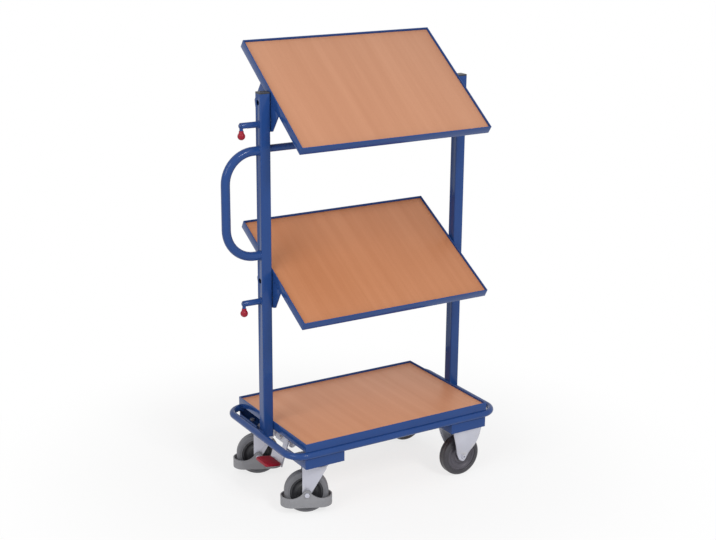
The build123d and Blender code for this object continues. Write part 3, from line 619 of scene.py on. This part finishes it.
dome = [(dome_radius * cos(turn), washer_height + dome_height * sin(turn))
        for turn in [pi / 2 * step / dome_steps for step in range(dome_steps + 1)]]
washer = [(0, -washer_height), (washer_radius, -washer_height),
          (washer_radius, washer_height * washer_side), (washer_radius * washer_top, washer_height)]
bolt = lathe(washer + dome)
smooth(bolt)
strap = pad_seat + (pad_length / 2) * Vector((cos(pedal_lean), 0, -sin(pedal_lean)))
strap += Vector((bolt_up * sin(treadle_lean), bolt_across, bolt_up * cos(treadle_lean)))
settle(bolt, strap, (0, treadle_lean - pi / 2, 0))
fit(bolt, "treadle_bolt", "brake_pedal", zinc, "zinc")

# Fixed forks. Plate and two bell-shaped legs pressed from one steel sheet, with
# borders that fall back and edges rolled toward the wheel; zinc plated.
sheet, roll, roll_edge = 0.0038, 0.0045, 0.0005
border_fold, border_drop, fold_half = 0.66, 0.004, 0.0008
leg_top, leg_out, leg_in = 0.050, 0.048, 0.0226
knee_rise, knee_bend, leg_bulge = 0.010, 0.010, 2.6
leg_boss, leg_flare, boss_depth = 0.015, 0.54, 0.55
leg_rows, boss_rows, roll_steps, inner_steps = 28, 9, 6, 3
mount_length, mount_edge, mount_wall, mount_corner = 0.100, 0.001, 0.003, 0.005
mount_ease, mount_angle = 0.0006, 60
mount_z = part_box("fixed_fork_front")[1].z - mount_wall
axle_z = joints["fixed_wheel_front_spin"]["pos_m"][2]
knee_z = axle_z + knee_rise
boss_turn = atan(leg_flare)
boss_x, boss_z = leg_boss * cos(boss_turn), axle_z - leg_boss * sin(boss_turn)
leg_span = mount_z - boss_z
leg_bow = (leg_top - boss_x - leg_flare * leg_span) / leg_span ** 2


def leg_half(height):
    """Half the leg's width: bowed edges that run into a round boss below the axle."""
    if height < boss_z:
        return sqrt(leg_boss ** 2 - (axle_z - height) ** 2)
    return boss_x + leg_flare * (height - boss_z) + leg_bow * (height - boss_z) ** 2


def leg_face(height):
    """How far out the leg's face is: upright at the axle, then swelling to the plate's edge."""
    rise = height - knee_z
    share = (rise + sqrt(rise ** 2 + knee_bend ** 2)) / 2 / (mount_z - knee_z)
    return leg_in + (leg_out - leg_in) * (1 - max(0.0, 1 - share) ** leg_bulge)


def leg_depth(height):
    """How deep the borders and edges are pressed, as a share of their depth at the plate."""
    return boss_depth + (1 - boss_depth) * max(0.0, (height - axle_z) / (mount_z - axle_z))


heights = [mount_z - leg_span * row / leg_rows for row in range(leg_rows)]
for row in range(boss_rows):
    heights.append(axle_z - leg_boss * sin(boss_turn + (pi / 2 - boss_turn) * row / boss_rows))
fold = leg_top * border_fold
fall = atan2(border_drop, leg_top - roll - fold)
turn_in = (leg_top - roll, -border_drop - roll * cos(fall))
section = [(fold - fold_half, 0), (fold + fold_half, -fold_half * sin(fall))]
section += arc(turn_in, roll, pi / 2 - fall, 0, roll_steps)
section += arc((leg_top - sheet / 2, turn_in[1] - roll_edge), sheet / 2, 0, -pi, roll_steps)
section += arc(turn_in, roll - sheet, 0, pi / 2 - fall, inner_steps)
section.append((fold, -sheet))
section += [(-x, y) for x, y in reversed(section)]
section.append(section[0])
first_leg = draw([(x, y + leg_face(mount_z), mount_z) for x, y in section])
bpy.ops.mesh.remove_doubles(threshold=seam_reach)
bpy.ops.mesh.edge_face_add()
for height, next_height in zip(heights, heights[1:]):
    run(0, leg_face(next_height) - leg_face(height), next_height - height)
    narrower = leg_half(next_height) / leg_half(height)
    shallower = leg_depth(next_height) / leg_depth(height)
    bpy.ops.transform.resize(value=(narrower, shallower, 1), center_override=(0, leg_face(next_height), 0))
bpy.ops.mesh.select_all(action="SELECT")
bpy.ops.mesh.normals_make_consistent(inside=False)
done()
smooth(first_leg)
for end in ("front", "rear"):
    low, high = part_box(f"fixed_fork_{end}")
    fork = block(mount_length, 2 * (leg_out + mount_edge), mount_wall, base=mount_z)
    edit(fork)
    pick(fork, "edges", lambda edge: abs(edge.verts[0].co.z - edge.verts[1].co.z) > mount_wall / 2)
    bpy.ops.mesh.bevel(offset=mount_corner, segments=8, affect="EDGES")
    done()
    ease_edges(fork, mount_ease, angle=mount_angle)
    smooth(fork)
    legs = []
    for turn in (0, pi):
        leg = copy_of(first_leg)
        settle(leg, turn=(0, 0, turn))
        legs.append(leg)
    take(fork)
    for leg in legs:
        leg.select_set(True)
    bpy.ops.object.join()
    settle(fork, ((low.x + high.x) / 2, (low.y + high.y) / 2, 0))
    fit(fork, f"fixed_fork_{end}_pressed", "frame", zinc, "zinc", f"fixed_fork_{end}")
bpy.data.objects.remove(first_leg)

# Fixed axle bolts. Zinc plated steel, drawn up through the fork's legs, with a
# hexagon socket pressed into each head.
socket_lip, socket_share, socket_depth, plane_play = 0.0001, 0.45, 0.0045, 0.0001
axle_bolts = eased("fixed_axles", "frame", zinc, "zinc", small_ease)
front_axle, rear_axle = (Vector(joints[f"fixed_wheel_{end}_spin"]["pos_m"]) for end in ("front", "rear"))
head_reach = front_axle.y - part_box("fixed_axles")[0].y


def on_head(face, head_y):
    """Whether a face is the flat of a bolt head at this place across the trolley."""
    return face.normal.y < -square_on and abs(face.calc_center_median().y - head_y) < plane_play


edit(axle_bolts)
for axle in (front_axle, rear_axle):
    pick(axle_bolts, "faces", lambda face: on_head(face, axle.y - head_reach))
    bpy.ops.mesh.inset(thickness=socket_lip)
    bpy.ops.transform.resize(value=(socket_share, 1, socket_share), center_override=axle)
    run(0, socket_depth, 0)
done()
smooth(axle_bolts)

# Brake pad. Red plastic moulded over the pedal's seat, with rounded corners
# and rows of small pyramid studs that keep a shoe from slipping.
red_deep, red_pale, red_scuffed = (0.250, 0.003, 0.016), (0.310, 0.005, 0.023), (0.340, 0.020, 0.042)
red_plastic, shade, place = new_finish("red_plastic")
grain = noise(shade, place, scale=1200.0, detail=1.0)
haze = noise(shade, place, scale=60.0)
scuff = ramp(shade, noise(shade, place, scale=300.0, detail=3.0), low=0.60, high=0.75)
red = over(shade, scuff * 0.18, between(shade, haze, red_deep, red_pale), red_scuffed)
close_finish(
    shade, Base_Color=red, Roughness=0.30 + haze * 0.12 + scuff * 0.10,
    Normal=bumps(shade, grain, depth=0.00005, strength=0.5),
    Specular_IOR_Level=0.30,
)
pad_width, pad_height, pad_corner, pad_brow = 0.066, 0.009, 0.008, 0.003
stud_size, stud_height, stud_pitch = 0.0040, 0.0016, 0.0052
stud_rows, stud_columns = 8, 11
stud_taper, stud_ease = 0.45, 0.0002
pad = block(pad_length, pad_width, pad_height - stud_height)
edit(pad)
pick(pad, "edges", lambda edge: abs(edge.verts[0].co.z - edge.verts[1].co.z) > pad_height / 2)
bpy.ops.mesh.bevel(offset=pad_corner, segments=6, affect="EDGES")
pick(pad, "faces", faces_up)
bpy.ops.mesh.bevel(offset=pad_brow, segments=4, affect="EDGES")
done()
smooth(pad)
stud = block(stud_size, stud_size, stud_height, base=pad_height - stud_height)
edit(stud)
pick(stud, "faces", faces_up)
bpy.ops.transform.resize(value=(stud_taper, stud_taper, 1))
done()
ease_edges(stud, stud_ease, segments=1)
for count, step in ((stud_rows, (stud_pitch, 0, 0)), (stud_columns, (0, stud_pitch, 0))):
    rows = stud.modifiers.new("rows", "ARRAY")
    rows.count = count
    rows.use_relative_offset = False
    rows.use_constant_offset = True
    rows.constant_offset_displace = step
apply_all(stud)
settle(stud, (-stud_pitch * (stud_rows - 1) / 2, -stud_pitch * (stud_columns - 1) / 2, 0))
take(pad)
stud.select_set(True)
bpy.ops.object.join()
settle(pad, pad_seat, (0, pedal_lean, 0))
fit(pad, "brake_pad_studded", "brake_pedal", red_plastic, "red_plastic", "pedal_pad")

# Latch levers and knobs. Painted bolts with a lever turned down through the
# sleeve's slot, and red ball knobs with a short neck pushed onto its end.
knob_radius, neck_radius, bore_radius = 0.0105, 0.0065, 0.0050
neck_rise, neck_lip = 0.004, 0.0008
ball_turn, ball_steps, ball_angle = 0.80, 18, 50
lever_ease = 0.0006
for level in latch_levels:
    eased(f"latch_bolt_{level}", f"latch_{level}", blue_paint, "blue_paint", lever_ease)
    low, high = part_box(f"latch_knob_{level}")
    neck_top = high.z - low.z - knob_radius
    profile = arc((0, 0), knob_radius, -pi / 2, ball_turn, ball_steps)
    profile += [(neck_radius, neck_top - neck_rise), (neck_radius, neck_top - neck_lip),
                (neck_radius - neck_lip, neck_top), (bore_radius, neck_top), (bore_radius, 0), (0, 0)]
    knob = lathe(profile)
    smooth(knob, ball_angle)
    settle(knob, ((low.x + high.x) / 2, 0, low.z + knob_radius))
    fit(knob, f"latch_ball_{level}", f"latch_{level}", red_plastic, "red_plastic", f"latch_knob_{level}")


# Tyres. Rubber cast round the core, grey on the swivel wheels and nearly black
# on the fixed ones, with round shoulders, a fine groove on each side and a
# mould line round the tread.
def rubber(name, gloss, deep, pale, dusty):
    """A rubber that goes from deep to pale, with dusty smears; gloss is its least roughness."""
    material, shade, place = new_finish(name)
    dust = noise(shade, place, scale=55.0, detail=4.0)
    grain = noise(shade, place, scale=900.0)
    smear = ramp(shade, noise(shade, place, scale=16.0, detail=3.0), low=0.50, high=0.75)
    base = over(shade, smear * 0.35, between(shade, dust, deep, pale), dusty)
    close_finish(
        shade, Base_Color=base, Roughness=dust * 0.2 + gloss,
        Normal=bumps(shade, grain, depth=0.0001, strength=0.6),
    )
    return material


tyre_rubbers = {
    "swivel": rubber(
        "grey_tyre_rubber", 0.48, (0.130, 0.130, 0.145), (0.185, 0.185, 0.200), (0.235, 0.230, 0.235),
    ),
    "fixed": rubber(
        "black_tyre_rubber", 0.30, (0.032, 0.030, 0.037), (0.048, 0.045, 0.055), (0.070, 0.066, 0.078),
    ),
}
tyre_radius, tyre_half, tyre_bore = 0.0625, 0.016, 0.047
shoulder, shoulder_steps, tyre_steps = 0.008, 9, 96
groove_radius, groove_slope, groove_floor = 0.0505, 0.0004, 0.0006
groove, mould_line = 0.0006, 0.0003


def both_sides(side):
    """A wheel's whole profile from the profile of one side."""
    return side + [(radius, -height) for radius, height in reversed(side)]


def fit_wheels(first, part, form, finishes, slot):
    """Puts a copy of a turned piece on each wheel, in its node's place, and removes the first."""
    for kind, finish in finishes.items():
        for end in ("front", "rear"):
            axle = joints[f"{kind}_wheel_{end}_spin"]
            piece = copy_of(first)
            settle(piece, axle["pos_m"], (pi / 2, 0, atan2(-axle["axis"][0], axle["axis"][1])))
            node = f"{kind}_{part}_{end}"
            fit(piece, f"{node}_{form}", f"{kind}_wheel_{end}", finish, slot, node)
    bpy.data.objects.remove(first)


groove_end = groove_radius + 2 * groove_slope + groove_floor
side = [(tyre_bore, 0.0), (tyre_bore, tyre_half - groove), (tyre_bore + groove, tyre_half),
        (groove_radius, tyre_half), (groove_radius + groove_slope, tyre_half - groove),
        (groove_end - groove_slope, tyre_half - groove), (groove_end, tyre_half)]
side += arc((tyre_radius - shoulder, tyre_half - shoulder), shoulder, pi / 2, 0, shoulder_steps)
side += [(tyre_radius, 2 * groove), (tyre_radius - mould_line, groove)]
tyre = lathe(both_sides(side), tyre_steps)
smooth(tyre)
fit_wheels(tyre, "tyre", "moulded", tyre_rubbers, "tyre")

# Wheel cores. Injection moulded plastic discs with a dished ring on each side and
# a long hub that turns on the axle's bush, black in the swivel wheels and slate
# grey in the fixed ones; the tyre is cast round them.
slate_deep, slate_pale = (0.058, 0.053, 0.068), (0.082, 0.076, 0.094)
slate_scuffed = (0.115, 0.110, 0.122)
slate_plastic, shade, place = new_finish("slate_core_plastic")
haze = noise(shade, place, scale=40.0, detail=3.0)
grain = noise(shade, place, scale=1300.0)
scuff = ramp(shade, noise(shade, place, scale=180.0, detail=4.0), low=0.58, high=0.74)
slate = over(shade, scuff * 0.25, between(shade, haze, slate_deep, slate_pale), slate_scuffed)
close_finish(
    shade, Base_Color=slate, Roughness=0.42 + haze * 0.16,
    Normal=bumps(shade, grain, depth=0.00008, strength=0.6),
)
hub_radius, hub_bore, core_half, core_ease = 0.015, 0.0062, 0.014, 0.0006
dish_middle, dish_half, dish_depth, dish_steps = 0.0320, 0.0085, 0.005, 14
core_steps, core_angle = 72, 30
low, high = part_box("fixed_core_front")
core_radius, hub_half = (high.z - low.z) / 2, (high.y - low.y) / 2
plateau = core_half - core_ease
dish_curve = (dish_half ** 2 + dish_depth ** 2) / (2 * dish_depth)
dish_turn = asin(dish_half / dish_curve)
dish_centre = (dish_middle, plateau + dish_curve - dish_depth)
side = [(hub_bore, 0.0), (hub_bore, hub_half - core_ease), (hub_bore + core_ease, hub_half),
        (hub_radius - core_ease, hub_half), (hub_radius, hub_half - core_ease), (hub_radius, plateau)]
side += arc(dish_centre, dish_curve, -pi / 2 - dish_turn, -pi / 2 + dish_turn, dish_steps)
side += [(dish_middle + dish_half + core_ease, core_half), (core_radius - core_ease, core_half),
         (core_radius, core_half - core_ease)]
core = lathe(both_sides(side), core_steps)
smooth(core, core_angle)
fit_wheels(core, "core", "dished", {"swivel": black_plastic, "fixed": slate_plastic}, "black_plastic")

# Foot guards. Pale moulded plastic that rings each swivel wheel near the floor
# and hangs from the axle by two webs.
guard_deep, guard_pale = (0.225, 0.225, 0.242), (0.282, 0.282, 0.298)
guard_scuffed = (0.335, 0.335, 0.342)
guard_ease = 0.0011
grey_plastic, shade, place = new_finish("grey_guard_plastic")
haze = noise(shade, place, scale=45.0, detail=3.0)
grain = noise(shade, place, scale=1100.0)
scuff = ramp(shade, noise(shade, place, scale=160.0, detail=4.0), low=0.58, high=0.74)
moulded = over(shade, scuff * 0.30, between(shade, haze, guard_deep, guard_pale), guard_scuffed)
close_finish(
    shade, Base_Color=moulded, Roughness=0.42 + haze * 0.18,
    Normal=bumps(shade, grain, depth=0.0001, strength=0.6),
)
for end in ("front", "rear"):
    eased(f"foot_guard_{end}", f"swivel_{end}", grey_plastic, "grey_plastic", guard_ease, segments=3)

# Studio. A plain pale floor that fades to white away from the trolley, a
# white surround, a soft lamp high in front and a larger one from the left.
floor_size, floor_grey, floor_glow = 120, 0.93, 0.75
fade_start, fade_end = 0.4, 1.2
surround_light = 0.50


def seen_directly(shade):
    """1 for what the camera sees, in a mirror or through glass too, and 0 for what only lights."""
    seen = shade.node("LightPath", output="Is Camera Ray")
    for kind in ("Glossy", "Transmission"):
        ray = shade.node("LightPath", output=f"Is {kind} Ray")
        seen = shade.node("Math", {0: seen, 1: ray}, operation="MAXIMUM")
    return seen


bpy.ops.object.select_all(action="DESELECT")
bpy.ops.mesh.primitive_plane_add(size=floor_size, location=(0, 0, 0))
floor = bpy.context.object
floor.name = "studio_floor"
pale, shade, place = new_finish("pale_floor")
reach = shade.node("VectorMath", {0: place}, output="Value", operation="LENGTH")
matt = shade.node("BsdfDiffuse", {"Color": (floor_grey, floor_grey, floor_grey, 1)})
glow = shade.node("Emission", {"Color": (1, 1, 1, 1), "Strength": 1.0})
fade = floor_glow + ramp(shade, reach, fade_start, fade_end) * (1 - floor_glow)
blend = shade.node("MixShader", {0: fade * seen_directly(shade), 1: matt, 2: glow})
shade.node("OutputMaterial", {"Surface": blend})
floor.data.materials.append(pale)

world = bpy.data.worlds.new("studio_surround")
world.use_nodes = True
world.node_tree.nodes.clear()
shade = Shade(world.node_tree)
strength = surround_light + seen_directly(shade) * (1 - surround_light)
surround = shade.node("Background", {"Color": (1, 1, 1, 1), "Strength": strength})
shade.node("OutputWorld", {"Surface": surround})
bpy.context.scene.world = world


def lamp(name, place, aim, size, power):
    """A square soft lamp at a place, turned toward its aim; power in watts."""
    data = bpy.data.lights.new(name, "AREA")
    data.size = size
    data.energy = power
    light = bpy.data.objects.new(name, data)
    bpy.context.scene.collection.objects.link(light)
    light.location = place
    light.rotation_euler = (Vector(place) - Vector(aim)).to_track_quat("Z", "Y").to_euler()


lamp("key_softbox", place=(0.4, -5.6, 5.0), aim=(0, 0, 0.5), size=1.6, power=203)
lamp("side_softbox", place=(-5.6, -2.2, 4.2), aim=(0, 0, 0.6), size=3.6, power=150)

# Camera at the photograph's place: its eye, its turn and its focal length
# were fitted to the corners of the boards.
focal_length, sensor_width = 70.62, 36
eye = Vector((-1.9744, -3.2774, 1.7996))
azimuth, elevation, lean = radians(-31.416), radians(16.856), radians(0.471)
back = Vector((sin(azimuth) * cos(elevation), -cos(azimuth) * cos(elevation), sin(elevation)))
level = Vector((cos(azimuth), sin(azimuth), 0))
upward = back.cross(level)
across = cos(lean) * level + sin(lean) * upward
upward = -sin(lean) * level + cos(lean) * upward
view = bpy.data.cameras.new("photo_view")
view.sensor_width = sensor_width
view.lens = focal_length
camera = bpy.data.objects.new("photo_view", view)
bpy.context.scene.collection.objects.link(camera)
camera.matrix_world = Matrix.Translation(eye) @ Matrix((across, upward, back)).transposed().to_4x4()
bpy.context.scene.camera = camera
bpy.context.scene.view_settings.view_transform = "Standard"
